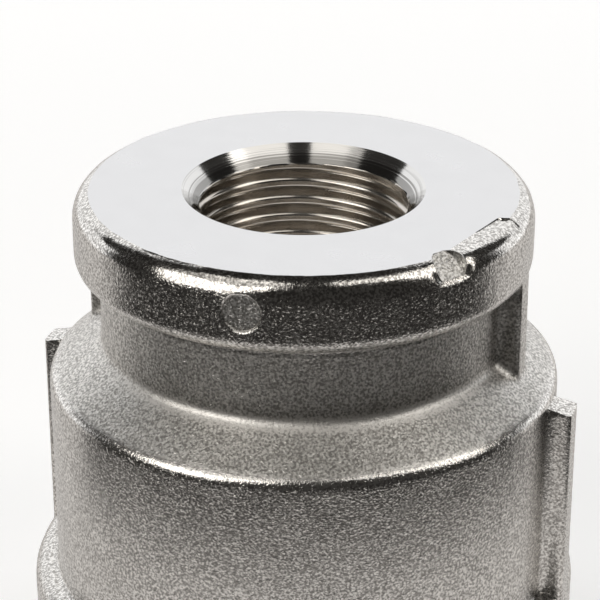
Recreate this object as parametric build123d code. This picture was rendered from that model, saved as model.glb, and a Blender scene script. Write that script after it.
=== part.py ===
from build123d import *
import math
import os

# Reducing coupling in hot forged brass, all lengths in millimetres.
# The large end's rim lies on Z = 0 and the small end faces +Z.
# Both pairs of ribs lie on the X axis, where the forging dies part.
# The threads are plain walls here, at each thread's minor diameter.

# Overall length and the two threads
total_height = 46.0
small_thread_major = 20.955
small_thread_pitch = 25.4 / 14
large_thread_major = 41.910
large_thread_pitch = 25.4 / 11
thread_depth_per_pitch = 0.640327

# Mouth chamfers at 45 degrees, open to a little over the thread's major diameter
small_mouth_relief = 0.72
inner_mouth_relief = 0.42
large_mouth_relief = 0.40

# Large bore and the conical floor between the bores
large_bore_depth = 21.0
floor_angle = 30.0

# Outside of the large end, as a wall over the thread and a band over the wall
large_wall = 3.045
large_band_overhang = 2.3
large_band_height = 8.0

# Shoulder, neck and the outside of the small end
shoulder_step = 5.0
shoulder_drop = 3.35
neck_height = 14.5
small_band_overhang = 2.25
small_band_height = 7.2

# Rounds left by the forging dies
band_round = 2.3
band_root_fillet = 0.6
band_root_flat = 0.05
shoulder_round = 1.2
foot_fillet = 1.0

# Forged ends stand proud by this much before they are faced flat
facing_cut = 0.08

# Ribs between each band and the shoulder beside it
rib_width = 3.0
rib_setback = 0.1
rib_edge_round = 0.4
large_rib_drop = 0.75
large_rib_slope = 45.0

# Shallow round stamp recess on the small band
stamp_radius = 1.9
stamp_depth = 0.3
stamp_drop = 3.2
stamp_angle = -86.8

# Punch mark across the small band's upper round, tilted with it
mark_radius = 1.65
mark_depth = 0.7
mark_angle = -34.2
mark_tilt = 47.0

# Threads and mouths
small_bore_radius = small_thread_major / 2 - thread_depth_per_pitch * small_thread_pitch
large_bore_radius = large_thread_major / 2 - thread_depth_per_pitch * large_thread_pitch
small_mouth_radius = small_thread_major / 2 + small_mouth_relief
inner_mouth_radius = small_thread_major / 2 + inner_mouth_relief
large_mouth_radius = large_thread_major / 2 + large_mouth_relief
small_mouth_depth = small_mouth_radius - small_bore_radius
inner_mouth_depth = inner_mouth_radius - small_bore_radius
large_mouth_depth = large_mouth_radius - large_bore_radius
floor_rise = (large_bore_radius - inner_mouth_radius) * math.tan(math.radians(floor_angle))
floor_top = large_bore_depth + floor_rise

# Radii and heights of the outside
body_radius = large_thread_major / 2 + large_wall
large_band_radius = body_radius + large_band_overhang
neck_radius = body_radius - shoulder_step
small_band_radius = neck_radius + small_band_overhang
small_band_base = total_height - small_band_height
shoulder_top = total_height - neck_height
shoulder_base = shoulder_top - shoulder_drop
shoulder_slope = shoulder_drop / shoulder_step
small_band_under_round = small_band_overhang - band_root_fillet - band_root_flat
large_band_over_round = large_band_overhang - band_root_fillet - band_root_flat
small_rib_reach = small_band_radius - rib_setback
large_rib_reach = large_band_radius - rib_setback
large_rib_top = shoulder_base - large_rib_drop

# Centre of the upper round's arc, which the punch mark leans on
round_centre_radius = small_band_radius - band_round
round_centre_height = total_height + facing_cut - band_round

# Extra length that lets one solid run into the next, or a cutter run clear
overlap = 2.0


def turned(points, rounds=()):
    """Revolve a half section of (radius, height) points, some of them rounded."""
    section = make_face(Polyline(*points, close=True))
    for (radius, height), size in rounds:
        corner = section.vertices().sort_by_distance((radius, height))[0]
        section = fillet(corner, size)
    return revolve(Plane.YZ * section, Axis.Z, 360)


def ribbed_barrel(radius, reach, low, high):
    """Extrude a round barrel with a rib out to the reach on each side."""
    ribs = Rectangle(2 * reach + overlap, rib_width) & Circle(reach)
    plan = Circle(radius) + ribs
    roots = plan.vertices().filter_by(lambda v: abs(math.hypot(v.X, v.Y) - radius) < 0.01)
    plan = fillet(roots, foot_fillet)
    tips = plan.vertices().filter_by(lambda v: abs(math.hypot(v.X, v.Y) - reach) < 0.01)
    plan = fillet(tips, rib_edge_round)
    return extrude(Pos(0, 0, low) * plan, high - low)


# Body below the neck: the large barrel with the shoulder cone on top
cone_radius = neck_radius - overlap
cone_top = shoulder_top + overlap * shoulder_slope
barrel = turned(
    [
        (0, overlap),
        (body_radius, overlap),
        (body_radius, shoulder_base),
        (cone_radius, cone_top),
        (0, cone_top),
    ],
    [((body_radius, shoulder_base), shoulder_round)],
)

# Neck with its two ribs, blended into the shoulder all the way round
neck = ribbed_barrel(
    neck_radius,
    small_rib_reach,
    shoulder_base,
    small_band_base + overlap,
)
forging = barrel + neck
foot_low = shoulder_top - (small_rib_reach - neck_radius) * shoulder_slope
foot_edges = [
    edge
    for edge in forging.edges()
    if foot_low - 0.1 < min(v.Z for v in edge.vertices())
    and max(v.Z for v in edge.vertices()) < shoulder_top + 0.1
    and max(math.hypot(v.X, v.Y) for v in edge.vertices()) < small_rib_reach + 0.1
]
forging = fillet(foot_edges, foot_fillet)

# Small band, left high by the facing cut
forging += turned(
    [
        (0, small_band_base - overlap),
        (neck_radius, small_band_base - overlap),
        (neck_radius, small_band_base),
        (small_band_radius, small_band_base),
        (small_band_radius, total_height + facing_cut),
        (0, total_height + facing_cut),
    ],
    [
        ((neck_radius, small_band_base), band_root_fillet),
        ((small_band_radius, small_band_base), small_band_under_round),
        ((small_band_radius, total_height + facing_cut), band_round),
    ],
)

# Large band, left low by the facing cut
forging += turned(
    [
        (0, -facing_cut),
        (large_band_radius, -facing_cut),
        (large_band_radius, large_band_height),
        (body_radius, large_band_height),
        (body_radius, large_band_height + overlap),
        (0, large_band_height + overlap),
    ],
    [
        ((large_band_radius, -facing_cut), band_round),
        ((large_band_radius, large_band_height), large_band_over_round),
        ((body_radius, large_band_height), band_root_fillet),
    ],
)

# Ribs of the large end, sloped off below the shoulder's edge
large_ribs = ribbed_barrel(
    body_radius,
    large_rib_reach,
    large_band_height - overlap,
    large_rib_top,
)
slope_fall = (large_band_radius + overlap - body_radius) * math.tan(math.radians(large_rib_slope))
large_ribs &= turned(
    [
        (0, 0),
        (large_band_radius + overlap, 0),
        (large_band_radius + overlap, large_rib_top - slope_fall),
        (body_radius, large_rib_top),
        (0, large_rib_top),
    ]
)
forging += large_ribs

# Both ends faced flat and square to the axis
faced_length = Cylinder(
    large_band_radius + overlap,
    total_height,
    align=(Align.CENTER, Align.CENTER, Align.MIN),
)
forging &= faced_length

# Bores, with a chamfer at every mouth
bores = turned(
    [
        (0, -overlap),
        (large_mouth_radius + overlap, -overlap),
        (large_bore_radius, large_mouth_depth),
        (large_bore_radius, large_bore_depth),
        (inner_mouth_radius, floor_top),
        (small_bore_radius, floor_top + inner_mouth_depth),
        (small_bore_radius, total_height - small_mouth_depth),
        (small_mouth_radius + overlap, total_height + overlap),
        (0, total_height + overlap),
    ]
)
coupling = forging - bores

# Stamp recess with a flat floor, square to the band
stamp = Cylinder(stamp_radius, overlap, align=(Align.CENTER, Align.CENTER, Align.MIN))
stamp = Pos(small_band_radius - stamp_depth, 0, total_height - stamp_drop) * Rot(0, 90, 0) * stamp
coupling -= Rot(0, 0, stamp_angle) * stamp

# Punch mark with a flat floor, sunk square to the upper round
mark = Cylinder(mark_radius, overlap, align=(Align.CENTER, Align.CENTER, Align.MIN))
mark = Rot(0, 90 - mark_tilt, 0) * Pos(0, 0, band_round - mark_depth) * mark
mark = Pos(round_centre_radius, 0, round_centre_height) * mark
coupling -= Rot(0, 0, mark_angle) * mark

os.makedirs("parts", exist_ok=True)
export_step(coupling, "parts/coupling_body.step")
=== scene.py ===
"""Dresses the reducing coupling: one forged and plated body, its threads, and a small studio."""

from __future__ import annotations

import logging
import math
from dataclasses import dataclass, field
from enum import Enum

import bpy
from mathutils import Euler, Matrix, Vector, noise

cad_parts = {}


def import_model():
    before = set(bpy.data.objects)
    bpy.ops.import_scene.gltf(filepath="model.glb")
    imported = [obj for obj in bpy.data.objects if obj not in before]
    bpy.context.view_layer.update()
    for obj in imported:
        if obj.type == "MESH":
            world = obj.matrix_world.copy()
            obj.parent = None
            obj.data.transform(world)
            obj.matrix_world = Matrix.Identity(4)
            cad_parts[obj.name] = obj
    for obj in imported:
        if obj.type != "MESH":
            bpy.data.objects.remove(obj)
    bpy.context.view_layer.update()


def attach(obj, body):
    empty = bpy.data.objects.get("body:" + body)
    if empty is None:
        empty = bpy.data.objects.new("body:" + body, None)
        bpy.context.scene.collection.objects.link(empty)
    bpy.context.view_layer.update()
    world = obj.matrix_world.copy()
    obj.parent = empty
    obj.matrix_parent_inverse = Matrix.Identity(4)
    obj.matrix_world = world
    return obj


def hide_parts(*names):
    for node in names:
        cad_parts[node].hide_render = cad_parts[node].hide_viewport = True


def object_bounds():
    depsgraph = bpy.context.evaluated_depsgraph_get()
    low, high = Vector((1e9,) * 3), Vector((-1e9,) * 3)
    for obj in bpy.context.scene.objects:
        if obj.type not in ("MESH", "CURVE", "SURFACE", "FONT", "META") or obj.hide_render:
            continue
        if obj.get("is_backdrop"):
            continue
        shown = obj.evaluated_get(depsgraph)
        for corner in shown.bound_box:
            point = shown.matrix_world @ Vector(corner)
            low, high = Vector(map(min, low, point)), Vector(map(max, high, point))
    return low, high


LOG = logging.getLogger("coupling")
MM = 0.001
Colour = tuple[float, float, float]
Limits = tuple[float, float, float, float]
Column = tuple[Vector, Vector]
Socket = bpy.types.NodeSocket


class Surface(Enum):
    """The kinds of surface on the body; each value is its material slot."""

    SKIN = 0
    FACED = 1
    TURNED = 2
    THREAD = 3
    PUNCHED = 4


def smooth(value: float) -> float:
    """Return the smooth step of a value held between 0 and 1."""
    t = min(1.0, max(0.0, value))
    return t * t * (3.0 - 2.0 * t)


def polar(radius: float, angle: float, height: float) -> Vector:
    """Return the point at a radius, an angle in radians and a height."""
    return Vector((radius * math.cos(angle), radius * math.sin(angle), height))


def arc_points(
    centre: float, height: float, radius: float, turn: tuple[float, float], steps: int
) -> list[tuple[float, float]]:
    """Return points along an arc in the half section.

    Args:
        centre: Distance of the arc's centre from the axis.
        height: Height of the arc's centre.
        radius: The arc's radius.
        turn: First and last angle in radians, 0 being away from the axis.
        steps: Number of equal steps.

    Returns:
        Pairs of distance from the axis and height, both ends included.
    """
    angles = [turn[0] + (turn[1] - turn[0]) * k / steps for k in range(steps + 1)]
    return [(centre + radius * math.cos(a), height + radius * math.sin(a)) for a in angles]


@dataclass
class Shell:
    """Collects the points and faces of the closed body mesh, in millimetres."""

    points: list[Vector] = field(default_factory=list)
    relief: list[float] = field(default_factory=list)
    faces: list[tuple[int, ...]] = field(default_factory=list)
    slots: list[int] = field(default_factory=list)
    crease: float = 38.0

    def point(self, place: Vector, relief: float = 0.0) -> int:
        """Add a point.

        Args:
            place: Where the point lies.
            relief: How much of the forging's unevenness it takes, 0 to 1.

        Returns:
            The point's index.
        """
        self.points.append(place)
        self.relief.append(relief)
        return len(self.points) - 1

    def ring(self, places: list[Vector], relief: float = 0.0) -> list[int]:
        """Add a closed ring of points and return its indices."""
        return [self.point(place, relief) for place in places]

    def face(self, corners: list[int], surface: Surface) -> None:
        """Add a face, leaving out corners that repeat.

        Args:
            corners: Point indices, counter-clockwise seen from outside.
            surface: The kind of surface that the face belongs to.
        """
        kept = [c for k, c in enumerate(corners) if c != corners[k - 1]]
        if len(set(kept)) > 2:
            self.faces.append(tuple(kept))
            self.slots.append(surface.value)

    def bridge(self, first: list[int], second: list[int], surface: Surface) -> None:
        """Join two rings of the same count with quads.

        Args:
            first: The ring that comes first along the section.
            second: The next ring along the section.
            surface: The kind of surface between them.
        """
        count = len(first)
        for k in range(count):
            n = (k + 1) % count
            self.face([first[k], second[k], second[n], first[n]], surface)

    def zip(self, first: list[int], second: list[int], surface: Surface) -> None:
        """Join two rings of different counts with triangles, by their angles.

        Args:
            first: The ring that comes first along the section.
            second: The next ring along the section.
            surface: The kind of surface between them.
        """
        a = self.from_zero(first)
        b = self.from_zero(second)
        i = j = 0
        while i < len(a) - 1 or j < len(b) - 1:
            next_a = a[i + 1][0] if i < len(a) - 1 else math.inf
            next_b = b[j + 1][0] if j < len(b) - 1 else math.inf
            if next_a <= next_b:
                self.face([a[i][1], b[j][1], a[i + 1][1]], surface)
                i += 1
            else:
                self.face([a[i][1], b[j][1], b[j + 1][1]], surface)
                j += 1

    def from_zero(self, ring: list[int]) -> list[tuple[float, int]]:
        """Order a ring by angle from the +X axis, with its first point again at the end."""
        turn = 2.0 * math.pi
        order = sorted((math.atan2(self.points[k].y, self.points[k].x) % turn, k) for k in ring)
        return order + [(order[0][0] + turn, order[0][1])]

    def build(self, name: str, waviness: "ForgingWaviness") -> bpy.types.Object:
        """Make the Blender object, then move the forged skin by its unevenness.

        Args:
            name: The object's name.
            waviness: The unevenness that the dies and the shot leave.

        Returns:
            The new object, linked to the scene.
        """
        mesh = bpy.data.meshes.new(name)
        mesh.from_pydata([p * MM for p in self.points], [], self.faces)
        mesh.update()
        normals = [n.vector.copy() for n in mesh.vertex_normals]
        moved: list[float] = []
        for place, normal, share in zip(self.points, normals, self.relief):
            shift = share * waviness.at(place) if share else 0.0
            moved.extend(waviness.held(place + normal * shift) * MM)
        mesh.vertices.foreach_set("co", moved)
        mesh.polygons.foreach_set("material_index", self.slots)
        mesh.polygons.foreach_set("use_smooth", [True] * len(self.slots))
        mesh.set_sharp_from_angle(angle=math.radians(self.crease))
        mesh.update()
        mesh.validate()
        body = bpy.data.objects.new(name, mesh)
        bpy.context.scene.collection.objects.link(body)
        return body


@dataclass(frozen=True)
class ForgingWaviness:
    """Low unevenness of the forged skin, in millimetres."""

    broad_height: float = 0.035
    broad_length: float = 3.4
    short_height: float = 0.006
    short_length: float = 1.25
    fill: float = -0.02
    widest: float = 26.285
    tallest: float = 45.9995

    def at(self, place: Vector) -> float:
        """Return the shift along the normal at a place in millimetres."""
        broad = noise.noise(place / self.broad_length + Vector((7.3, 1.1, 4.7)))
        short = noise.noise(place / self.short_length + Vector((2.9, 8.2, 0.4)))
        return self.fill + self.broad_height * broad + self.short_height * short

    def held(self, place: Vector) -> Vector:
        """Return a place held inside the body's greatest radius and height."""
        share = min(1.0, self.widest / max(1.0, math.hypot(place.x, place.y)))
        height = min(self.tallest, max(0.0, place.z))
        return Vector((place.x * share, place.y * share, height))


@dataclass(frozen=True)
class RibOutline:
    """Plan outline of a barrel with a rib on +X and on -X, in millimetres."""

    radius: float
    reach: float
    half_width: float = 1.5
    root: float = 1.0
    tip: float = 0.4

    def flank(self) -> list[Column]:
        """Return the +Y flank of the +X rib, from the rib's middle out to the barrel.

        Returns:
            Pairs of plan point and outward normal, by rising angle.
        """
        pairs: list[Column] = []
        tip_y = self.half_width - self.tip
        tip_x = math.sqrt((self.reach - self.tip) ** 2 - tip_y**2)
        crown = math.atan2(tip_y, tip_x)
        for k in range(3):
            angle = crown * k / 3.0
            normal = polar(1.0, angle, 0.0)
            pairs.append((normal * self.reach, normal))
        for k in range(4):
            angle = crown + (math.pi / 2 - crown) * k / 3.0
            normal = polar(1.0, angle, 0.0)
            pairs.append((Vector((tip_x, tip_y, 0.0)) + normal * self.tip, normal))
        root_y = self.half_width + self.root
        root_x = math.sqrt((self.radius + self.root) ** 2 - root_y**2)
        lean = math.atan2(root_y, root_x)
        side = Vector((0.0, 1.0, 0.0))
        pairs.append((Vector(((tip_x + root_x) / 2, self.half_width, 0.0)), side))
        for k in range(6):
            angle = -math.pi / 2 - (math.pi / 2 - lean) * k / 5.0
            normal = Vector((-math.cos(angle), -math.sin(angle), 0.0))
            centre = Vector((root_x, root_y, 0.0))
            pairs.append((centre - normal * self.root, normal))
        return pairs

    def columns(self, front: int, back: int) -> list[Column]:
        """Return plan points and normals all the way round.

        Args:
            front: Columns on the barrel between the ribs on the -Y side.
            back: Columns on the barrel between the ribs on the +Y side.

        Returns:
            Pairs of plan point and outward normal, by rising angle from +X.
        """
        flank = self.flank()
        lean = math.atan2(flank[-1][0].y, flank[-1][0].x)
        pairs = list(flank)
        pairs += self.arc(lean, math.pi - lean, back)
        pairs += mirrored(flank[::-1], -1, 1)
        pairs += mirrored(flank[1:], -1, -1)
        pairs += self.arc(math.pi + lean, 2 * math.pi - lean, front)
        pairs += mirrored(flank[:0:-1], 1, -1)
        return pairs

    def arc(self, start: float, end: float, count: int) -> list[Column]:
        """Return evenly spaced columns on the barrel, without the two ends."""
        pairs = []
        for k in range(1, count):
            angle = start + (end - start) * k / count
            normal = polar(1.0, angle, 0.0)
            pairs.append((normal * self.radius, normal))
        return pairs


def mirrored(columns: list[Column], sign_x: int, sign_y: int) -> list[Column]:
    """Return plan points and normals with their x and y multiplied by signs."""
    signs = Vector((sign_x, sign_y, 1))
    return [(spot * signs, normal * signs) for spot, normal in columns]


@dataclass(frozen=True)
class PipeThread:
    """Parallel pipe thread cut in a bore, right-handed, with 55 degree flanks."""

    major: float
    pitch: float
    reference: float
    phases: tuple[float, ...]
    columns: int
    low: float
    high: float
    low_cone: float
    high_cone: float
    flat: float
    crest: float
    root: float
    fade_from: float
    fade_to: float
    flank: float = math.radians(27.5)
    margin: float = 0.03

    def profile(self, phase: float) -> float:
        """Return the thread's radius at a phase, with a root at 0 and a crest at 0.5."""
        steep = 1.0 / math.tan(self.flank)
        half = self.pitch / 2
        v = abs((phase % 1.0) - 0.5) * self.pitch - self.flat
        if v <= 0:
            rise = 0.0
        elif v < self.crest:
            rise = steep * v * v / (2 * self.crest)
        elif v < half - self.flat - self.root:
            rise = steep * (v - self.crest / 2)
        else:
            rest = half - self.flat - v
            rise = self.depth() - steep * rest * rest / (2 * self.root)
        return self.minor() + rise

    def depth(self) -> float:
        """Return the height from the crests to the roots."""
        straight = self.pitch / 2 - self.flat - self.crest / 2 - self.root / 2
        return straight / math.tan(self.flank)

    def minor(self) -> float:
        """Return the radius at the crests."""
        return self.major - self.depth()

    def cone(self, height: float) -> float:
        """Return the radius of the mouth chamfers at a height."""
        return max(self.low_cone - height, self.high_cone + height)

    def radius(self, phase: float, height: float) -> tuple[float, bool]:
        """Return the bore's radius at a place, and whether the thread is what shows there."""
        fade = 1.0 - smooth((height - self.fade_from) / (self.fade_to - self.fade_from))
        cut = self.minor() + (self.profile(phase) - self.minor()) * fade
        cone = self.cone(height)
        return (cut, True) if cut > cone else (cone, False)

    def cut(self, shell: Shell) -> tuple[list[int], list[int]]:
        """Add the threaded wall from its low ring to its high ring.

        Args:
            shell: The mesh that the wall goes into.

        Returns:
            The low and the high ring of point indices.
        """
        turn = 2.0 * math.pi
        count = self.columns
        angles = [turn * c / count for c in range(count)]
        low = shell.ring([polar(self.radius(0.0, self.low)[0], a, self.low) for a in angles])
        high = shell.ring([polar(self.radius(0.0, self.high)[0], a, self.high) for a in angles])
        per_turn = len(self.phases)
        first = math.floor((self.low - self.reference) / self.pitch) - 2
        last = math.ceil((self.high - self.reference) / self.pitch) + 1
        rows = (last - first) * per_turn
        known: dict[tuple[int, int], int] = {}
        threaded: dict[int, bool] = {}

        def index(row: int, column: int) -> int:
            """Return the point at a row and column, made when first asked for."""
            if column == count:
                return index(row + per_turn, 0)
            if (row, column) in known:
                return known[(row, column)]
            phase = self.phases[row % per_turn] + row // per_turn
            height = self.reference + self.pitch * (first + phase + column / count)
            if height <= self.low + self.margin:
                made = low[column]
            elif height >= self.high - self.margin:
                made = high[column]
            else:
                radius, on_thread = self.radius(phase, height)
                made = shell.point(polar(radius, angles[column], height))
                threaded[made] = on_thread
            known[(row, column)] = made
            return made

        for row in range(-per_turn, rows):
            for column in range(count):
                steps = ((0, 0), (1, 0), (1, 1), (0, 1))
                corners = [index(row + up, column + on) for up, on in steps]
                if len(set(corners)) < 3:
                    continue
                cut = sum(threaded.get(c, False) for c in corners) >= 2
                shell.face(corners, Surface.THREAD if cut else Surface.TURNED)
        return low, high


@dataclass(frozen=True)
class SmallBand:
    """Band round the small end: faced ring, upper round, wall and lower round."""

    top: float = 46.0
    radius: float = 21.25
    round: float = 2.3
    facing: float = 0.08
    wall_low: float = 40.4
    under: float = 1.6
    root: float = 0.6
    flat: float = 0.05
    neck: float = 19.0
    face_inner: float = -6.0
    face_steps: tuple[float, ...] = (6.6, 5.4, 4.2, 3.2, 2.4, 1.8, 1.3, 0.9, 0.6, 0.35, 0.15)
    edge: float = 0.8
    ragged: tuple[tuple[float, float], ...] = ((0.10, 5.0), (0.07, 19.0))
    patch_from: float = -33.0
    patch_to: float = -4.0
    patch_middle: float = -16.2
    patch_chord: float = 18.42
    patch_sunk: float = 0.12
    bite_azimuth: float = -34.2
    bite_radius: float = 1.65
    bite_inmost: float = 18.915
    bite_centre: float = 20.041
    bite_floor: float = 0.7161
    bite_lean: float = 0.7314

    def wall_start(self) -> float:
        """Return the section length at which the upper round becomes the wall."""
        return self.round * math.pi / 2

    def lengths(self) -> tuple[float, float, float]:
        """Return the section lengths at the wall's end, the lower round's end and the neck."""
        wall = self.wall_start() + (self.top + self.facing - self.round - self.wall_low)
        under = wall + self.under * math.pi / 2
        return wall, under, under + self.flat + self.root * math.pi / 2

    def raw(self, s: float) -> tuple[float, float]:
        """Return radius and height of the forging's section at a length from its round's top."""
        crown = self.top + self.facing
        centre = self.radius - self.round
        wall, under, neck = self.lengths()
        if s < 0:
            return centre + s, crown
        if s < self.wall_start():
            a = math.pi / 2 - s / self.round
            return centre + self.round * math.cos(a), crown - self.round + self.round * math.sin(a)
        if s < wall:
            return self.radius, crown - self.round - (s - self.wall_start())
        if s < under:
            a = -(s - wall) / self.under
            centre = self.radius - self.under
            return centre + self.under * math.cos(a), self.wall_low + self.under * math.sin(a)
        base = self.wall_low - self.under
        if s < under + self.flat:
            return self.radius - self.under - (s - under), base
        a = math.pi / 2 + (s - under - self.flat) / self.root
        return (
            self.neck + self.root + self.root * math.cos(a),
            base - self.root + self.root * math.sin(a),
        )

    def edge_at(self, angle: float) -> float:
        """Return the section length at which the facing cut meets the skin at an angle."""
        degrees = math.degrees(angle)
        degrees = degrees - 360.0 if degrees > 180.0 else degrees
        turn = polar(1.0, angle, 0.0)
        wobble = sum(size * noise.noise(turn * rate) for size, rate in self.ragged)
        edge = self.edge + wobble
        low = self.length_at(self.patch_chord / math.cos(math.radians(degrees - self.patch_middle)))
        rise = smooth((degrees - self.patch_from) / 3.0)
        fall = smooth((self.patch_to - degrees) / 1.2)
        edge += (low + 0.3 * wobble - edge) * rise * fall
        aside = angle - math.radians(self.bite_azimuth)
        side = abs(math.sin(aside)) * (self.radius - self.round)
        if side < self.bite_radius + 0.25 and math.cos(aside) > 0:
            drop = math.sqrt(max(0.05, self.bite_radius**2 - side**2))
            reach = self.bite_centre + (self.bite_floor - drop) / self.bite_lean
            reach = max(self.bite_inmost, reach) - 0.1
            hold = 1.0 - smooth((side - self.bite_radius + 0.35) / 0.5)
            edge += min(0.0, self.length_at(reach) - edge) * hold
        return edge

    def length_at(self, radius: float) -> float:
        """Return the section length on the upper round at a radius."""
        out = radius - self.radius + self.round
        return out if out < 0 else self.round * math.asin(min(1.0, out / self.round))

    def at(self, angle: float, s: float) -> Vector:
        """Return the faced and forged surface at an angle and a section length."""
        edge = self.edge_at(angle)
        edge_radius, edge_height = self.raw(edge)
        if s <= edge:
            return polar(edge_radius - (edge - s), angle, self.top)
        radius, height = self.raw(s)
        span = self.wall_start() - edge
        if s < self.wall_start():
            share = 1.0 - (s - edge) / span
            height += (self.top - edge_height) * share * share
            sunk = self.patch_sunk * smooth((self.edge - 0.12 - edge) / 0.25)
            height = min(height, self.top - sunk * smooth((s - edge) / 0.16))
        return polar(radius, angle, height)

    def length_of(self, place: Vector) -> float:
        """Return the section length of a place on or near the band's surface."""
        radius = math.hypot(place.x, place.y)
        angle = math.atan2(place.y, place.x)
        edge = self.edge_at(angle)
        centre = self.radius - self.round
        low = self.top + self.facing - self.round
        if place.z <= low:
            return self.wall_start() + low - place.z
        if place.z >= self.top - 1e-4:
            return edge - (self.raw(edge)[0] - radius)
        return self.round * (math.pi / 2 - math.atan2(place.z - low, radius - centre))

    def row_lengths(self, angle: float) -> list[float]:
        """Return the section lengths of the rows at an angle, from the face to the neck."""
        edge = self.edge_at(angle)
        wall, under, neck = self.lengths()
        span = self.wall_start() - edge
        reach = (edge - self.face_inner) / self.face_steps[0]
        steps = [edge - step * reach for step in self.face_steps]
        fractions = (0.0, 0.018, 0.05, 0.1, 0.17, 0.25, 0.33, 0.42, 0.51, 0.6, 0.69, 0.78, 0.88)
        steps += [edge + span * f for f in fractions]
        steps += [self.wall_start() + (wall - self.wall_start()) * k / 11 for k in range(11)]
        steps += [wall + (under - wall) * k / 7 for k in range(7)]
        base = under + self.flat
        steps += [base + (neck - base) * k / 5 for k in range(6)]
        return steps


@dataclass(frozen=True)
class BandRecess:
    """A round flat-floored recess sunk into the small band."""

    azimuth: float
    centre_radius: float
    centre_height: float
    tilt: float
    radius: float
    span: float
    s_from: float
    s_to: float
    floor_surface: Surface
    from_edge: bool = False
    lip_drop: float = 0.0
    lip_width: float = 0.5
    draft: float = 0.02
    skin_rings: tuple[float, ...] = (0.34, 0.58, 0.75, 0.87, 0.95)
    floor_rings: tuple[float, ...] = (0.2, 0.45, 0.72)

    def axes(self) -> tuple[Vector, Vector, Vector, Vector]:
        """Return the floor's centre, the axis, and the two directions across the floor."""
        a = math.radians(self.azimuth)
        t = math.radians(self.tilt)
        out = polar(1.0, a, 0.0)
        up = Vector((0.0, 0.0, 1.0))
        side = up.cross(out)
        axis = out * math.cos(t) + up * math.sin(t)
        slope = up * math.cos(t) - out * math.sin(t)
        centre = out * self.centre_radius + up * self.centre_height
        return centre, axis, side, slope

    def outside(self, band: SmallBand, place: Vector) -> float:
        """Return how far a place lies outside the band's surface, negative inside."""
        radius = math.hypot(place.x, place.y)
        crown = band.top + band.facing
        centre = band.radius - band.round
        gap = max(radius - band.radius, place.z - band.top)
        if radius > centre and place.z > crown - band.round:
            corner = math.hypot(radius - centre, place.z - crown + band.round)
            gap = max(gap, corner - band.round)
        return gap

    def drop(self, across: Vector) -> float:
        """Return how far the lip is pressed in beside a direction across the floor."""
        slope = self.axes()[3]
        return self.lip_drop * smooth(0.3 - 0.8 * across.dot(slope))

    def rim(self, band: SmallBand, phi: float) -> tuple[Vector, Vector, float]:
        """Return the floor point, the surface point and the lip's drop in a direction."""
        centre, axis, side, slope = self.axes()
        across = side * math.cos(phi) + slope * math.sin(phi)
        drop = self.drop(across)
        reach = self.radius
        if self.outside(band, centre + across * reach) > -drop:
            low, high = 0.0, reach
            for _ in range(30):
                reach = (low + high) / 2
                if self.outside(band, centre + across * reach) > -drop:
                    high = reach
                else:
                    low = reach
        floor = centre + across * reach
        low, high = 0.0, 3.0
        for _ in range(30):
            climb = (low + high) / 2
            if self.outside(band, floor + axis * climb) > 0:
                high = climb
            else:
                low = climb
        return floor, floor + axis * low, min(drop, low)

    def sink(self, shell: Shell, band: SmallBand, border: list[tuple[int, float, float]]) -> None:
        """Fill a window in the band with the recess and the skin round it.

        Args:
            shell: The mesh that the recess goes into.
            band: The band whose surface it is sunk into.
            border: Point index, angle and section length round the window, counter-clockwise.
        """
        centre, axis, side, slope = self.axes()
        middle = math.radians(self.azimuth)
        s_middle = band.length_of(centre + axis * 0.5)
        turns = []
        for _, angle, s in border:
            across = (angle - middle) * (band.radius - 0.5)
            turns.append(math.atan2(s_middle - s, across))
        rims = [self.rim(band, phi) for phi in turns]
        outer = [index for index, _, _ in border]
        for share in self.skin_rings:
            ring = []
            for (index, angle, s), (floor, edge, drop) in zip(border, rims):
                edge_angle = math.atan2(edge.y, edge.x)
                edge_s = band.length_of(edge)
                a = angle + (edge_angle - angle) * share
                place = band.at(a, s + (edge_s - s) * share)
                gap = (place - edge).length
                pressed = drop * math.exp(-((gap / self.lip_width) ** 2))
                ring.append(shell.point(place - axis * pressed, 1.0 - share))
            self.join(shell, outer, ring, Surface.SKIN)
            outer = ring
        top = [shell.point(edge - axis * drop) for _, edge, drop in rims]
        self.join(shell, outer, top, Surface.SKIN)
        outer = top
        sloped = self.draft > 0.05
        if sloped:
            ring = []
            for floor, edge, drop in rims:
                inward = (centre - floor) * (0.6 * self.draft)
                ring.append(shell.point(edge - axis * drop + (floor - edge) * 0.36 + inward))
            self.join(shell, outer, ring, Surface.SKIN)
            outer = ring
        foot = [shell.point(floor + (centre - floor) * self.draft) for floor, _, _ in rims]
        self.join(shell, outer, foot, Surface.SKIN if sloped else self.floor_surface)
        outer = foot
        for share in self.floor_rings:
            ring = [shell.point(floor + (centre - floor) * share) for floor, _, _ in rims]
            self.join(shell, outer, ring, self.floor_surface)
            outer = ring
        hub = shell.point(centre.copy())
        for k, index in enumerate(outer):
            shell.face([index, outer[(k + 1) % len(outer)], hub], self.floor_surface)

    def join(self, shell: Shell, outer: list[int], inner: list[int], surface: Surface) -> None:
        """Join two closed loops round the recess, the inner one nearer its middle."""
        count = len(outer)
        for k in range(count):
            n = (k + 1) % count
            shell.face([outer[k], outer[n], inner[n], inner[k]], surface)


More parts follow.
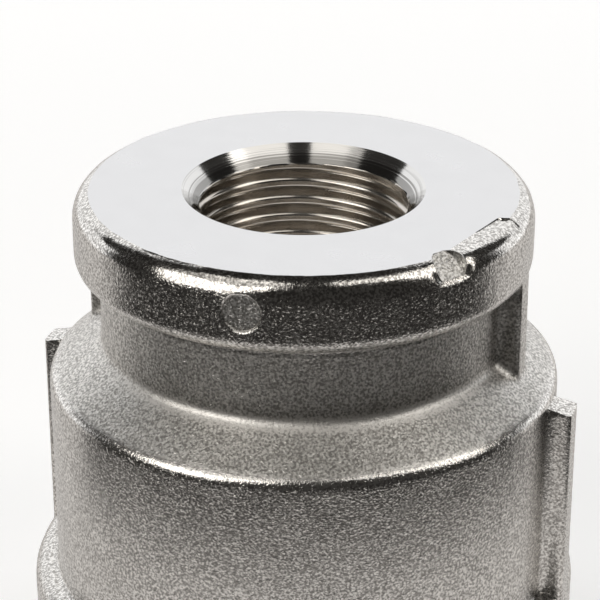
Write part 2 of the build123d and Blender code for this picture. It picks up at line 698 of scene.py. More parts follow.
@dataclass(frozen=True)
class NeckAndShoulder:
    """Neck with two ribs, blended into the conical shoulder, down to the barrel's edge."""

    neck: RibOutline = RibOutline(19.0, 21.15)
    barrel: RibOutline = RibOutline(24.0, 26.2)
    shoulder_top: float = 31.5
    slope: float = 0.67
    foot: float = 0.97
    corner: float = 1.2
    corner_height: float = 27.5093

    def cone(self, radius: float) -> float:
        """Return the shoulder's height at a radius."""
        return self.shoulder_top - self.slope * (radius - self.neck.radius)

    def column(self, start: float, inner: Column, outer: Vector) -> list[Vector]:
        """Return one column of points from the band's root down to the barrel's wall.

        Args:
            start: Height at which the column leaves the band's root.
            inner: Plan point and normal on the ribbed neck.
            outer: Plan point on the ribbed barrel.

        Returns:
            The column's points, downward.
        """
        spot, normal = inner
        tilt = math.atan(self.slope)
        hub = spot + normal * self.foot
        hub_height = self.cone(hub.length) + self.foot / math.cos(tilt)
        down = hub.normalized() * -math.sin(tilt) + Vector((0.0, 0.0, -math.cos(tilt)))
        swept = math.acos(max(-1.0, min(1.0, -normal.dot(down))))
        points = []
        for k in range(1, 7):
            height = start + (hub_height - start) * k / 7.0
            points.append(Vector((spot.x, spot.y, height)))
        for k in range(7):
            a = swept * k / 6.0
            toward = (normal * -math.sin(swept - a) + down * math.sin(a)) / math.sin(swept)
            points.append(hub + Vector((0.0, 0.0, hub_height)) + toward * self.foot)
        foot_point = points[-1]
        foot_radius = math.hypot(foot_point.x, foot_point.y)
        foot_angle = math.atan2(foot_point.y, foot_point.x)
        corner_radius = self.barrel.radius - self.corner * (1.0 - math.sin(tilt))
        swing = math.atan2(outer.y, outer.x) - foot_angle
        swing = (swing + math.pi) % (2 * math.pi) - math.pi
        for k in range(1, 6):
            share = k / 6.0
            radius = foot_radius + (corner_radius - foot_radius) * share
            points.append(polar(radius, foot_angle + swing * share, self.cone(radius)))
        centre = self.barrel.radius - self.corner
        turn = (math.pi / 2 - tilt, 0.0)
        for radius, height in arc_points(centre, self.corner_height, self.corner, turn, 6):
            points.append(polar(radius, foot_angle + swing, height))
        return points


@dataclass(frozen=True)
class LargeEnd:
    """Barrel, large band and faced rim, from the shoulder's corner down to the mouth."""

    barrel: RibOutline = RibOutline(24.0, 26.2)
    rib_top: float = 27.4
    rib_low: float = 25.2
    band_radius: float = 26.3
    band_height: float = 8.0
    over: float = 1.65
    root: float = 0.6
    round: float = 2.3
    facing: float = 0.08
    landing: float = 22.6
    floor: tuple[tuple[float, float], ...] = ((19.4764, 21.0), (15.2, 23.469))
    throat: tuple[float, float] = (10.8975, 25.953)

    def column(self, outline: Vector) -> list[Vector]:
        """Return one column of points from the shoulder's corner down to the rim's edge."""
        angle = math.atan2(outline.y, outline.x)
        reach = outline.length
        section: list[tuple[float, float]] = []
        for k in range(1, 8):
            step = (self.rib_top - self.rib_low) * k / 7.0
            section.append((min(self.barrel.radius + step, reach), self.rib_top - step))
        low = self.band_height + self.root
        for k in range(1, 10):
            section.append((reach, self.rib_low + (low - self.rib_low) * k / 9.0))
        centre = self.barrel.radius + self.root
        section += arc_points(centre, low, self.root, (math.pi, 1.5 * math.pi), 5)[1:]
        low = self.band_height - self.over
        centre = self.band_radius - self.over
        section += arc_points(centre, low, self.over, (math.pi / 2, 0.0), 6)
        hub = self.round - self.facing
        for k in range(1, 8):
            section.append((self.band_radius, low + (hub - low) * k / 8.0))
        last = math.asin(hub / self.round)
        centre = self.band_radius - self.round
        section += arc_points(centre, hub, self.round, (0.0, -last), 8)
        return [polar(max(r, reach) if z > low else r, angle, z) for r, z in section]


@dataclass
class CouplingBody:
    """The whole body: one closed mesh with its finishes."""

    front_columns: int = 196
    back_columns: int = 88
    mouth_rings: tuple[float, ...] = (10.65, 10.85, 11.05, 11.1975)
    mouth_land: float = 12.2
    small_band: SmallBand = SmallBand()
    shoulder: NeckAndShoulder = NeckAndShoulder()
    large_end: LargeEnd = LargeEnd()
    small_thread: PipeThread = PipeThread(
        major=10.4775,
        pitch=25.4 / 14,
        reference=40.97,
        phases=(
            *(0.0, 0.035, 0.07, 0.16, 0.245, 0.28, 0.315, 0.35, 0.385, 0.44),
            *(0.5, 0.56, 0.615, 0.65, 0.685, 0.72, 0.755, 0.84, 0.93, 0.965),
        ),
        columns=150,
        low=26.36,
        high=45.3,
        low_cone=36.8504,
        high_cone=-34.8025,
        flat=0.1,
        crest=0.55,
        root=0.13,
        fade_from=43.7,
        fade_to=44.6,
    )
    large_thread: PipeThread = PipeThread(
        major=20.955,
        pitch=25.4 / 11,
        reference=2.0,
        phases=(0.0, 0.06, 0.122, 0.25, 0.378, 0.44, 0.5, 0.56, 0.622, 0.75, 0.878, 0.94),
        columns=132,
        low=0.36,
        high=20.9,
        low_cone=21.355,
        high_cone=-99.0,
        flat=0.16,
        crest=0.25,
        root=0.2,
        fade_from=17.0,
        fade_to=19.6,
    )
    stamp: BandRecess = BandRecess(
        azimuth=-86.8,
        centre_radius=20.95,
        centre_height=42.8,
        tilt=0.0,
        radius=1.9,
        span=7.2,
        s_from=2.0,
        s_to=7.05,
        floor_surface=Surface.PUNCHED,
        draft=0.13,
    )
    mark: BandRecess = BandRecess(
        azimuth=-34.2,
        centre_radius=20.041,
        centre_height=44.95,
        tilt=47.0,
        radius=1.65,
        span=7.0,
        s_from=-1.25,
        s_to=4.2,
        floor_surface=Surface.PUNCHED,
        from_edge=True,
        lip_drop=0.36,
    )

    def outside(self, shell: Shell) -> tuple[list[int], list[int]]:
        """Add the outside, from the first ring of the face to the rim's outer edge.

        Args:
            shell: The mesh that the outside goes into.

        Returns:
            The first ring on the small face and the ring at the rim's edge.
        """
        inner = self.shoulder.neck.columns(self.front_columns, self.back_columns)
        outer = self.large_end.barrel.columns(self.front_columns, self.back_columns)
        count = len(inner)
        angles = [math.atan2(p.y, p.x) for p, _ in inner]
        lengths = [self.small_band.row_lengths(a) for a in angles]
        rows = len(lengths[0])
        face_rows = len(self.small_band.face_steps)
        grid: list[list[int]] = [[-1] * count for _ in range(rows)]

        def corner(row: int, column: int) -> int:
            """Return the band's point at a row and column, made when first asked for."""
            if grid[row][column] < 0:
                place = self.small_band.at(angles[column], lengths[column][row])
                reach = inner[column][0].length
                if math.hypot(place.x, place.y) < reach and row > face_rows + 13:
                    place = polar(reach, angles[column], place.z)
                share = smooth((row - face_rows) / 2.0)
                grid[row][column] = shell.point(place, share)
            return grid[row][column]

        holes = [self.window(recess, angles, lengths) for recess in (self.stamp, self.mark)]
        for row in range(rows - 1):
            surface = Surface.FACED if row < face_rows else Surface.SKIN
            for column in range(count):
                if any(r0 <= row < r1 and c0 <= column < c1 for r0, r1, c0, c1 in holes):
                    continue
                n = (column + 1) % count
                around = ((row, column), (row + 1, column), (row + 1, n), (row, n))
                shell.face([corner(r, c) for r, c in around], surface)
        for recess, (r0, r1, c0, c1) in zip((self.stamp, self.mark), holes):
            walk = [(row, c0) for row in range(r0, r1)]
            walk += [(r1, column) for column in range(c0, c1)]
            walk += [(row, c1) for row in range(r1, r0, -1)]
            walk += [(r0, column) for column in range(c1, c0, -1)]
            border = [(corner(r, c), angles[c], lengths[c][r]) for r, c in walk]
            recess.sink(shell, self.small_band, border)
        columns = []
        for k, (spot, normal) in enumerate(inner):
            start = shell.points[grid[rows - 1][k]].z
            down = self.shoulder.column(start, (spot, normal), outer[k][0])
            columns.append(down + self.large_end.column(outer[k][0]))
        calm = [smooth((abs(p.y) / p.length - 0.13) / 0.06) for p, _ in inner]
        previous = grid[rows - 1]
        for row in range(len(columns[0])):
            share = 1.0 if row < len(columns[0]) - 1 else 0.0
            ring = [shell.point(column[row], share * c) for column, c in zip(columns, calm)]
            shell.bridge(previous, ring, Surface.SKIN)
            previous = ring
        return grid[0], previous

    def window(
        self, recess: BandRecess, angles: list[float], lengths: list[list[float]]
    ) -> tuple[int, int, int, int]:
        """Return the rows and columns of the grid that a recess takes the place of."""
        half = math.radians(recess.span)
        middle = math.radians(recess.azimuth)
        inside = [k for k, a in enumerate(angles) if abs(a - middle) < half]
        rows = lengths[inside[len(inside) // 2]]
        first = min(range(len(rows)), key=lambda k: abs(rows[k] - recess.s_from))
        first = len(self.small_band.face_steps) if recess.from_edge else first
        last = min(range(len(rows)), key=lambda k: abs(rows[k] - recess.s_to))
        return first, last, inside[0], inside[-1]

    def build(self) -> bpy.types.Object:
        """Build the body's object, with its threads, marks and finishes.

        Returns:
            The finished object.
        """
        shell = Shell()
        end, large, small = self.large_end, self.large_thread, self.small_thread
        face, rim = self.outside(shell)
        large_low, large_high = large.cut(shell)
        small_low, small_high = small.cut(shell)
        mouth = self.flat_ring(shell, large.low_cone, 0.0, large.columns)
        landing = self.flat_ring(shell, end.landing, 0.0, large.columns)
        shell.zip(rim, landing, Surface.FACED)
        shell.bridge(landing, mouth, Surface.FACED)
        shell.bridge(mouth, large_low, Surface.TURNED)
        previous = large_high
        for radius, height in end.floor:
            ring = self.flat_ring(shell, radius, height, large.columns)
            shell.bridge(previous, ring, Surface.TURNED)
            previous = ring
        throat = self.flat_ring(shell, *end.throat, small.columns)
        shell.zip(previous, throat, Surface.TURNED)
        shell.bridge(throat, small_low, Surface.TURNED)
        previous = small_high
        for radius in self.mouth_rings:
            ring = self.flat_ring(shell, radius, radius - small.high_cone, small.columns)
            shell.bridge(previous, ring, Surface.TURNED)
            previous = ring
        land = self.flat_ring(shell, self.mouth_land, self.small_band.top, small.columns)
        shell.bridge(previous, land, Surface.FACED)
        shell.zip(land, face, Surface.FACED)
        body = shell.build("nickel_plated_body", ForgingWaviness())
        for finish in (ForgedSkin(), FacedNickel(), TurnedNickel(), CutThread(), PunchedNickel()):
            body.data.materials.append(finish.material())
        LOG.info("%s: %d faces", body.name, len(body.data.polygons))
        return body

    def flat_ring(self, shell: Shell, radius: float, height: float, count: int) -> list[int]:
        """Add a level ring of evenly spaced points and return its indices."""
        turn = 2.0 * math.pi
        return shell.ring([polar(radius, turn * k / count, height) for k in range(count)])


@dataclass
class NodeSheet:
    """A material's node tree with short ways to add and join nodes."""

    name: str

    def __post_init__(self) -> None:
        """Make the material with a Principled shader and object coordinates."""
        self.made = bpy.data.materials.new(self.name)
        self.made.use_nodes = True
        self.tree = self.made.node_tree
        self.shader = self.tree.nodes["Principled BSDF"]
        self.coordinates = self.add("ShaderNodeTexCoord")
        self.place = self.coordinates.outputs["Object"]

    def add(self, kind: str, **values: object) -> bpy.types.Node:
        """Add a node and set its properties and unlinked inputs.

        Args:
            kind: The node's type.
            values: Properties or input names with their values, spaces written as underscores.

        Returns:
            The new node.
        """
        node = self.tree.nodes.new(kind)
        for key, value in values.items():
            socket = node.inputs.get(key.replace("_", " "))
            if socket is not None and not hasattr(node, key):
                socket.default_value = value
            else:
                setattr(node, key, value)
        return node

    def link(self, source: Socket, target: Socket) -> None:
        """Join an output to an input."""
        self.tree.links.new(source, target)

    def grain(self, scale: float, detail: float, seed: float) -> Socket:
        """Add a noise grain on object coordinates and return its value."""
        node = self.add("ShaderNodeTexNoise", noise_dimensions="4D")
        node.inputs["Scale"].default_value = scale
        node.inputs["Detail"].default_value = detail
        node.inputs["W"].default_value = seed
        self.link(self.place, node.inputs["Vector"])
        return node.outputs["Fac"]

    def pimples(self, scale: float) -> Socket:
        """Return the height of the small round lumps that blasting leaves between flats."""
        return self.span(self.grain(scale, 1.0, 7.7), (0.55, 0.78, 0.0, 1.0))

    def zone(self, height: Socket, limits: Limits) -> Socket:
        """Return 1 between two heights in metres, with a soft start and a soft end."""
        rise = self.span(height, (limits[0], limits[1], 0.0, 1.0))
        return self.sum("MULTIPLY", rise, self.span(height, (limits[2], limits[3], 1.0, 0.0)))

    def span(self, source: Socket, limits: Limits) -> Socket:
        """Map a value from one range to another, clamped, and return the result."""
        node = self.add("ShaderNodeMapRange")
        for name, value in zip(("From Min", "From Max", "To Min", "To Max"), limits):
            node.inputs[name].default_value = value
        self.link(source, node.inputs["Value"])
        return node.outputs["Result"]

    def sum(self, operation: str, first: Socket, second: Socket | float) -> Socket:
        """Add a math node on two values and return its result."""
        node = self.add("ShaderNodeMath", operation=operation)
        self.link(first, node.inputs[0])
        if isinstance(second, float):
            node.inputs[1].default_value = second
        else:
            self.link(second, node.inputs[1])
        return node.outputs["Value"]

    def metal(
        self,
        normal: Socket,
        roughness: Socket,
        factor: Socket,
        dark: Colour,
        light: Colour,
    ) -> bpy.types.Material:
        """Join a bare metal's values to the shader.

        Args:
            normal: The bumped normal.
            roughness: The roughness.
            factor: Where the metal takes the light tint, 0 to 1.
            dark: The tint at 0.
            light: The tint at 1.

        Returns:
            The finished material.
        """
        self.link(normal, self.shader.inputs["Normal"])
        self.link(roughness, self.shader.inputs["Roughness"])
        self.shader.inputs["Metallic"].default_value = 1.0
        node = self.add("ShaderNodeMix", data_type="RGBA")
        node.inputs["A"].default_value = (*dark, 1.0)
        node.inputs["B"].default_value = (*light, 1.0)
        self.link(factor, node.inputs["Factor"])
        self.link(node.outputs["Result"], self.shader.inputs["Base Color"])
        return self.made

    def bump(self, height: Socket, distance: float, below: Socket | None = None) -> Socket:
        """Add a bump of a height, over another if given, and return its normal."""
        node = self.add("ShaderNodeBump")
        node.inputs["Distance"].default_value = distance
        self.link(height, node.inputs["Height"])
        if below is not None:
            self.link(below, node.inputs["Normal"])
        return node.outputs["Normal"]

    def section(self) -> tuple[Socket, Socket]:
        """Return the radius from the axis and the height, in metres."""
        split = self.add("ShaderNodeSeparateXYZ")
        self.link(self.place, split.inputs[0])
        flat = self.add("ShaderNodeVectorMath", operation="MULTIPLY")
        flat.inputs[1].default_value = (1.0, 1.0, 0.0)
        self.link(self.place, flat.inputs[0])
        size = self.add("ShaderNodeVectorMath", operation="LENGTH")
        self.link(flat.outputs[0], size.inputs[0])
        return size.outputs["Value"], split.outputs["Z"]

    def facing(self, degrees: float) -> Socket:
        """Return 1 on the die-facing sides of the body, falling off towards the parting plane."""
        across = self.add("ShaderNodeVectorMath", operation="DOT_PRODUCT")
        turn = math.radians(degrees)
        across.inputs[1].default_value = (math.cos(turn), math.sin(turn), 0.0)
        self.link(self.place, across.inputs[0])
        depth = self.sum("ABSOLUTE", across.outputs["Value"], 0.0)
        share = self.sum("DIVIDE", depth, self.section()[0])
        return self.span(share, (0.5, 0.76, 0.25, 1.0))

    def turned_lines(self, per_metre: float, sweep: float) -> Socket:
        """Return a height of fine lines that run round the axis, broken along their length."""
        radius, height = self.section()
        across = self.sum("ADD", radius, height)
        lines = self.sum("MULTIPLY", across, per_metre)
        stretch = self.add("ShaderNodeVectorMath", operation="SCALE")
        stretch.inputs["Scale"].default_value = sweep
        self.link(self.place, stretch.inputs[0])
        node = self.add("ShaderNodeTexNoise", noise_dimensions="4D")
        node.inputs["Scale"].default_value = 1.0
        node.inputs["Detail"].default_value = 3.0
        self.link(stretch.outputs[0], node.inputs["Vector"])
        self.link(lines, node.inputs["W"])
        return node.outputs["Fac"]


@dataclass(frozen=True)
class ForgedSkin:
    """Shot-blasted forging skin under bright nickel, coarser on the bands, with a painted highlight
    on the neck's foot fillet and the shoulder's corner.
    """

    cells: float = 4400.0
    cell_depth: float = 0.000036
    grit: float = 5200.0
    grit_depth: float = 0.00004
    lump_depth: float = 0.00001
    foot_zone: Limits = (0.0308, 0.0311, 0.0319, 0.0322)
    root_zone: Limits = (0.0378, 0.0381, 0.0387, 0.0390)
    corner_zone: Limits = (0.0276, 0.0279, 0.0284, 0.0288)
    photo_side: float = -72.0
    dark: Colour = (0.4, 0.385, 0.365)
    light: Colour = (0.96, 0.94, 0.91)

    def material(self) -> bpy.types.Material:
        """Build the skin's material."""
        sheet = NodeSheet("forged_skin")
        height = sheet.section()[1]
        band = sheet.span(height, (0.0390, 0.0400, 0.0, 1.0))
        barrel = sheet.span(height, (0.0288, 0.0276, 0.0, 1.0))
        rounded = sheet.span(height, (0.0438, 0.0447, 1.0, 0.12))
        bands = sheet.sum("MAXIMUM", band, barrel)
        zone = sheet.sum("MAXIMUM", sheet.sum("MULTIPLY", band, rounded), barrel)
        grit = sheet.grain(self.grit, 2.0, 4.1)
        neck = sheet.span(height, (0.0321, 0.0330, 1.0, 2.2))
        outward = sheet.span(height, (0.0380, 0.0390, 1.0, 0.0))
        neck_share = sheet.sum("MAXIMUM", sheet.sum("MULTIPLY", neck, outward), 1.0)
        foot = sheet.zone(height, self.foot_zone)
        root = sheet.zone(height, self.root_zone)
        corner = sheet.zone(height, self.corner_zone)
        blend = sheet.sum("MAXIMUM", sheet.sum("MAXIMUM", foot, root), corner)
        calm = sheet.span(blend, (0.0, 1.0, 1.0, 0.6))
        between = sheet.span(bands, (0.0, 1.0, 0.8, 0.0))
        coarse_share = sheet.sum("MULTIPLY", sheet.sum("ADD", zone, between), calm)
        toward = sheet.facing(self.photo_side)
        coarse_share = sheet.sum("MULTIPLY", coarse_share, toward)
        coarse = sheet.sum("MULTIPLY", sheet.pimples(self.cells), coarse_share)
        neck_share = sheet.sum("MULTIPLY", neck_share, calm)
        grit_share = sheet.sum("MULTIPLY", grit, sheet.span(rounded, (0.12, 1.0, 0.3, 1.0)))
        grit_share = sheet.sum("MULTIPLY", grit_share, neck_share)
        lumps = sheet.sum("MULTIPLY", sheet.grain(1500.0, 2.0, 2.2), zone)
        first = sheet.bump(lumps, self.lump_depth)
        second = sheet.bump(grit_share, self.grit_depth, first)
        third = sheet.bump(coarse, self.cell_depth, second)
        blotch = sheet.grain(420.0, 3.0, 8.8)
        patchy = sheet.span(blotch, (0.3, 0.7, -0.03, 0.04))
        rough = sheet.sum("ADD", sheet.span(bands, (0.0, 1.0, 0.4, 0.24)), patchy)
        pressed = sheet.sum("MAXIMUM", root, corner)
        pressed = sheet.sum("MAXIMUM", pressed, sheet.span(rounded, (0.12, 1.0, 0.9, 0.0)))
        rough = sheet.sum("SUBTRACT", rough, sheet.sum("MULTIPLY", pressed, 0.12))
        rough = sheet.sum("ADD", rough, sheet.sum("MULTIPLY", foot, 0.06))
        grain_and_highlight_tint = sheet.span(sheet.grain(4200.0, 2.0, 6.3), (0.4, 0.6, 0.0, 1.0))
        # Painted highlight: the tint is lifted towards the light colour on the neck's foot fillet
        # and on the shoulder's corner, scaled by the facing mask; the random grain flecks are the
        # only real tone in this factor.
        foot_highlight = sheet.sum("MULTIPLY", foot, 0.6)
        painted_highlight = sheet.sum("MAXIMUM", foot_highlight, sheet.sum("MULTIPLY", corner, 0.5))
        grain_and_highlight_tint = sheet.sum("ADD", grain_and_highlight_tint, sheet.sum("MULTIPLY", painted_highlight, toward))
        return sheet.metal(third, rough, grain_and_highlight_tint, self.dark, self.light)


@dataclass(frozen=True)
class FacedNickel:
    """Flat end faces, cut fine and plated bright."""

    line_depth: float = 0.0000007
    dark: Colour = (0.765, 0.765, 0.775)
    light: Colour = (0.81, 0.81, 0.82)

    def material(self) -> bpy.types.Material:
        """Build the faced ends' material."""
        sheet = NodeSheet("faced_nickel")
        lines = sheet.turned_lines(9000.0, 90.0)
        blotch = sheet.grain(260.0, 4.0, 1.7)
        normal = sheet.bump(lines, self.line_depth)
        rough = sheet.span(blotch, (0.3, 0.7, 0.24, 0.28))
        bright = sheet.span(blotch, (0.25, 0.75, 0.0, 1.0))
        return sheet.metal(normal, rough, bright, self.dark, self.light)


@dataclass(frozen=True)
class TurnedNickel:
    """Chamfers and plain bores with clear turning lines, and painted shade darkening the tint
    towards the axis.
    """

    line_depth: float = 0.000008
    dark: Colour = (0.33, 0.325, 0.315)
    light: Colour = (0.79, 0.785, 0.775)

    def material(self) -> bpy.types.Material:
        """Build the turned surfaces' material."""
        sheet = NodeSheet("turned_nickel")
        lines = sheet.turned_lines(3600.0, 40.0)
        radius = sheet.section()[0]
        # Painted shade and light: the tint runs darker towards the axis inside a radius of 11.1 mm
        # and lighter outside it, on top of the real turning lines.
        painted_shade_ramp = sheet.span(radius, (0.0098, 0.0111, -0.2, 0.16))
        normal = sheet.bump(lines, self.line_depth)
        rough = sheet.span(lines, (0.3, 0.7, 0.07, 0.13))
        bright = sheet.span(sheet.sum("ADD", lines, painted_shade_ramp), (0.38, 0.56, 0.0, 1.0))
        return sheet.metal(normal, rough, bright, self.dark, self.light)


@dataclass(frozen=True)
class CutThread:
    """Tapped threads, in a warmer and duller tint."""

    line_depth: float = 0.000003
    dark: Colour = (0.66, 0.62, 0.57)
    light: Colour = (0.76, 0.725, 0.675)

    def material(self) -> bpy.types.Material:
        """Build the threads' material."""
        sheet = NodeSheet("cut_thread")
        lines = sheet.turned_lines(7000.0, 120.0)
        blotch = sheet.grain(500.0, 3.0, 5.5)
        normal = sheet.bump(lines, self.line_depth)
        rough = sheet.span(blotch, (0.3, 0.7, 0.15, 0.22))
        bright = sheet.span(blotch, (0.3, 0.7, 0.0, 1.0))
        return sheet.metal(normal, rough, bright, self.dark, self.light)


@dataclass(frozen=True)
class PunchedNickel:
    """Floors of the stamp and the punch mark, pressed flat but still grainy."""

    grain_depth: float = 0.00006
    dark: Colour = (0.54, 0.525, 0.5)
    light: Colour = (1.0, 0.99, 0.97)

    def material(self) -> bpy.types.Material:
        """Build the material of the pressed floors."""
        sheet = NodeSheet("punched_nickel")
        grain = sheet.grain(4600.0, 2.0, 3.2)
        lumps = sheet.bump(sheet.pimples(4000.0), self.grain_depth)
        rough = sheet.span(grain, (0.3, 0.7, 0.36, 0.46))
        bright = sheet.span(grain, (0.44, 0.56, 0.0, 1.0))
        return sheet.metal(lumps, rough, bright, self.dark, self.light)


@dataclass(frozen=True)
class Studio:
    """Pale floor, two shaped soft boxes among black cards, mats, world and camera."""

    azimuth: float = 17.8
    pitch: float = 25.07
    camera_radius: float = 0.199
    camera_height: float = 0.1276
    lens: float = 140.6
    dome: float = 0.7
    dome_height: float = 0.035
    card_rows: int = 12
    card_step: float = 6.0
    mat_steps: int = 48
    softbox_strength: float = 2.3
    softbox_distance: float = 0.97
    cloth: Colour = (1.0, 0.965, 0.91)

    def camera(self) -> None:
        """Make the scene's camera at the photograph's viewing angle."""
        turn = math.radians(self.azimuth)
        data = bpy.data.cameras.new("photo_camera")
        data.lens = self.lens
        data.sensor_width = 36.0
        data.shift_x = -3.7 / 600.0
        data.clip_start = 0.01
        data.clip_end = 50.0
        camera = bpy.data.objects.new("photo_camera", data)
        camera.location = (
            self.camera_radius * math.sin(turn),
            -self.camera_radius * math.cos(turn),
            self.camera_height,
        )
        camera.rotation_euler = Euler((math.radians(90.0 - self.pitch), 0.0, turn), "XYZ")
        bpy.context.scene.collection.objects.link(camera)
        bpy.context.scene.camera = camera

    def emitter(self, name: str, colour: Colour, strength: float) -> bpy.types.Material:
        """Return a plain glowing or black material for a studio card."""
        made = bpy.data.materials.new(name)
        made.use_nodes = True
        tree = made.node_tree
        tree.nodes.clear()
        glow = tree.nodes.new("ShaderNodeEmission")
        glow.inputs["Color"].default_value = (*colour, 1.0)
        glow.inputs["Strength"].default_value = strength
        out = tree.nodes.new("ShaderNodeOutputMaterial")
        tree.links.new(glow.outputs[0], out.inputs["Surface"])
        return made

    def card(
        self,
        name: str,
        edges: tuple[tuple[float, float, float], ...],
        material: bpy.types.Material,
        share: float = 1.0,
    ) -> None:
        """Add a card on the dome round the object.

        Args:
            name: The card's name.
            edges: Degrees round from the camera's side, positive to the right, each with
                the degrees above the floor at which the card starts and ends there.
            material: What it is made of.
            share: The card's distance as a share of the dome's radius.
        """
        up = self.card_rows
        columns: list[tuple[float, float, float]] = []
        for (a0, low0, high0), (a1, low1, high1) in zip(edges, edges[1:]):
            steps = max(1, math.ceil((a1 - a0) / self.card_step))
            for i in range(steps):
                t = i / steps
                low = low0 + (low1 - low0) * t
                columns.append((a0 + (a1 - a0) * t, low, high0 + (high1 - high0) * t))
        columns.append(edges[-1])
        points: list[tuple[float, float, float]] = []
        radius = self.dome * share
        for side, low, high in columns:
            a = math.radians(self.azimuth + side)
            for j in range(up + 1):
                e = math.radians(low + (high - low) * j / up)
                points.append(
                    (
                        radius * math.cos(e) * math.sin(a),
                        -radius * math.cos(e) * math.cos(a),
                        radius * math.sin(e) + self.dome_height,
                    )
                )
        faces = []
        for i in range(len(columns) - 1):
            for j in range(up):
                k = i * (up + 1) + j
                faces.append((k, k + up + 1, k + up + 2, k + 1))
        mesh = bpy.data.meshes.new(name)
        mesh.from_pydata(points, [], faces)
        mesh.materials.append(material)
        self.place(name, mesh)

    def place(self, name: str, mesh: bpy.types.Mesh) -> bpy.types.Object:
        """Link a stage card that only reflections and light can see, and return it."""
        card = bpy.data.objects.new(name, mesh)
        bpy.context.scene.collection.objects.link(card)
        card.visible_camera = False
        card.visible_shadow = False
        card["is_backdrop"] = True
        return card

    def mat(
        self,
        name: str,
        near: float,
        sides: tuple[float, float],
        height: float,
        material: bpy.types.Material,
    ) -> None:
        """Lay a mat on the floor that only the metal reflects.

        Args:
            name: The mat's name.
            near: Distance from the axis at which it starts.
            sides: Degrees round from the camera's side, positive to the right.
            height: How high it lies above the floor.
            material: What it is made of.
        """
        points = []
        steps = self.mat_steps
        for radius in (near, self.dome):
            for k in range(steps + 1):
                a = math.radians(self.azimuth + sides[0] + (sides[1] - sides[0]) * k / steps)
                points.append((radius * math.sin(a), -radius * math.cos(a), height))
        faces = [(k, k + steps + 1, k + steps + 2, k + 1) for k in range(steps)]
        mesh = bpy.data.meshes.new(name)
        mesh.from_pydata(points, [], faces)
        mesh.materials.append(material)
        mat = self.place(name, mesh)
        mat.visible_diffuse = False

    def floor(self) -> None:
        """Make the pale floor, white to the camera but still holding shadows."""
        made = bpy.data.materials.new("pale_floor")
        made.use_nodes = True
        tree = made.node_tree
        tree.nodes.clear()
        path = tree.nodes.new("ShaderNodeLightPath")
        seen = path.outputs["Is Camera Ray"]
        for kind in ("Is Glossy Ray", "Is Transmission Ray"):
            either = tree.nodes.new("ShaderNodeMath")
            either.operation = "MAXIMUM"
            tree.links.new(seen, either.inputs[0])
            tree.links.new(path.outputs[kind], either.inputs[1])
            seen = either.outputs[0]
        lift = tree.nodes.new("ShaderNodeMath")
        lift.operation = "MULTIPLY"
        lift.inputs[1].default_value = 0.5
        tree.links.new(seen, lift.inputs[0])
        glow = tree.nodes.new("ShaderNodeEmission")
        glow.inputs["Color"].default_value = (1.0, 1.0, 1.0, 1.0)
        tree.links.new(lift.outputs[0], glow.inputs["Strength"])
        paper = tree.nodes.new("ShaderNodeBsdfDiffuse")
        paper.inputs["Color"].default_value = (0.8, 0.8, 0.8, 1.0)
        both = tree.nodes.new("ShaderNodeAddShader")
        tree.links.new(glow.outputs[0], both.inputs[0])
        tree.links.new(paper.outputs[0], both.inputs[1])
        out = tree.nodes.new("ShaderNodeOutputMaterial")
        tree.links.new(both.outputs[0], out.inputs["Surface"])
        mesh = bpy.data.meshes.new("studio_floor")
        far = 12.0
        ends = [(-far, -far, 0), (far, -far, 0), (far, far, 0), (-far, far, 0)]
        mesh.from_pydata(ends, [], [(0, 1, 2, 3)])
        mesh.materials.append(made)
        floor = bpy.data.objects.new("studio_floor", mesh)
        bpy.context.scene.collection.objects.link(floor)
        floor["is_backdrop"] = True

    def world(self) -> None:
        """Make the even white surround."""
        world = bpy.data.worlds.new("white_surround")
        world.use_nodes = True
        back = world.node_tree.nodes["Background"]
        back.inputs["Color"].default_value = (1.0, 1.0, 1.0, 1.0)
        back.inputs["Strength"].default_value = 1.0
        bpy.context.scene.world = world

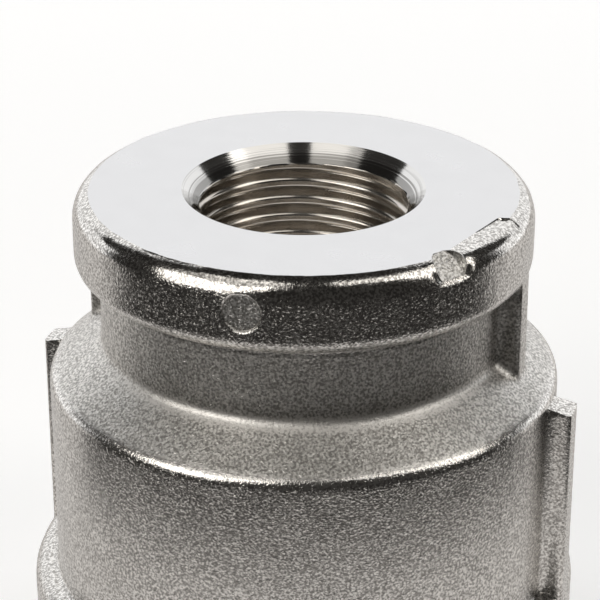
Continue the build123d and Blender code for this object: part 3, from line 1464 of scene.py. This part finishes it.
    def build(self) -> None:
        """Make the whole studio."""
        self.camera()
        self.floor()
        self.world()
        soft = self.emitter("softbox_cloth", self.cloth, self.softbox_strength)
        faint = self.emitter("softbox_rim", self.cloth, self.softbox_strength * 0.46)
        dim = self.emitter("softbox_edge", self.cloth, self.softbox_strength * 0.25)
        side = self.emitter("softbox_side", self.cloth, self.softbox_strength * 0.72)
        tan = self.emitter("tan_paper", (1.0, 0.965, 0.93), 0.62)
        black = self.emitter("black_card", (1.0, 0.95, 0.88), 0.028)
        self.card("card_front", ((-106.0, -3.0, 90.0), (106.0, -3.0, 90.0)), black)
        self.card("card_left", ((-126.0, 20.0, 90.0), (-106.0, 20.0, 90.0)), black)
        self.card("card_right", ((106.0, 20.0, 90.0), (128.0, 20.0, 90.0)), black)
        self.card("card_overhead", ((123.0, 60.0, 90.0), (234.0, 60.0, 90.0)), black)
        left = (
            *((-80.0, 38.0, 42.0), (-75.0, 28.0, 44.0), (-67.0, 16.0, 44.0), (-62.0, 10.0, 44.0)),
            *((-40.0, 14.0, 45.0), (-32.0, 26.0, 47.0), (-23.0, 37.0, 52.0), (-18.0, 43.0, 50.0)),
        )
        left_middle = (
            *((-84.0, 46.0, 60.0), (-75.0, 44.0, 60.0), (-62.0, 44.0, 60.0), (-40.0, 45.0, 60.0)),
            *((-32.0, 47.0, 60.0), (-23.0, 52.0, 60.0), (-18.0, 50.0, 60.0), (-11.0, 46.0, 60.0)),
        )
        left_high = (
            *((-84.0, 60.0, 63.0), (-56.0, 60.0, 71.0), (-39.0, 60.0, 72.0)),
            *((-20.0, 60.0, 74.0), (-12.0, 60.0, 69.0), (-11.0, 60.0, 61.0)),
        )
        right_high = (
            *((22.0, 57.0, 61.0), (27.5, 57.0, 66.0), (28.5, 57.0, 72.0), (39.0, 56.0, 72.0)),
            *((60.0, 55.0, 70.0), (73.0, 55.0, 66.0), (99.0, 55.0, 60.0)),
        )
        right = (
            *((50.0, 52.0, 55.0), (60.0, 47.0, 55.0), (68.0, 26.0, 55.0), (73.0, 10.0, 55.0)),
            *((84.0, 24.0, 55.0), (99.0, 45.0, 55.0)),
        )
        for name, edges, material in (
            ("softbox_left", left, soft),
            ("softbox_left_middle", left_middle, dim),
            ("softbox_left_top", left_high, faint),
            ("softbox_right", right, side),
            ("softbox_right_top", right_high, faint),
        ):
            self.card(name, edges, material, self.softbox_distance)
        self.mat("table_mat", 0.0, (-180.0, 180.0), 0.0004, tan)
        self.mat("front_mat", 0.057, (-97.0, 97.0), 0.0006, black)
        scene = bpy.context.scene
        scene.view_settings.view_transform = "Standard"
        LOG.info("studio: camera, floor, world and cards made")


def corners() -> list[list[float]]:
    """Return the shown object's lowest and highest corner as plain lists."""
    return [list(corner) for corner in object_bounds()]


def main() -> None:
    """Build the coupling and its studio."""
    logging.basicConfig(level=logging.INFO, format="%(message)s")
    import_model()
    Studio().build()
    body = CouplingBody().build()
    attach(body, "root")
    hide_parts("coupling_body")


if __name__ == "__main__":
    main()
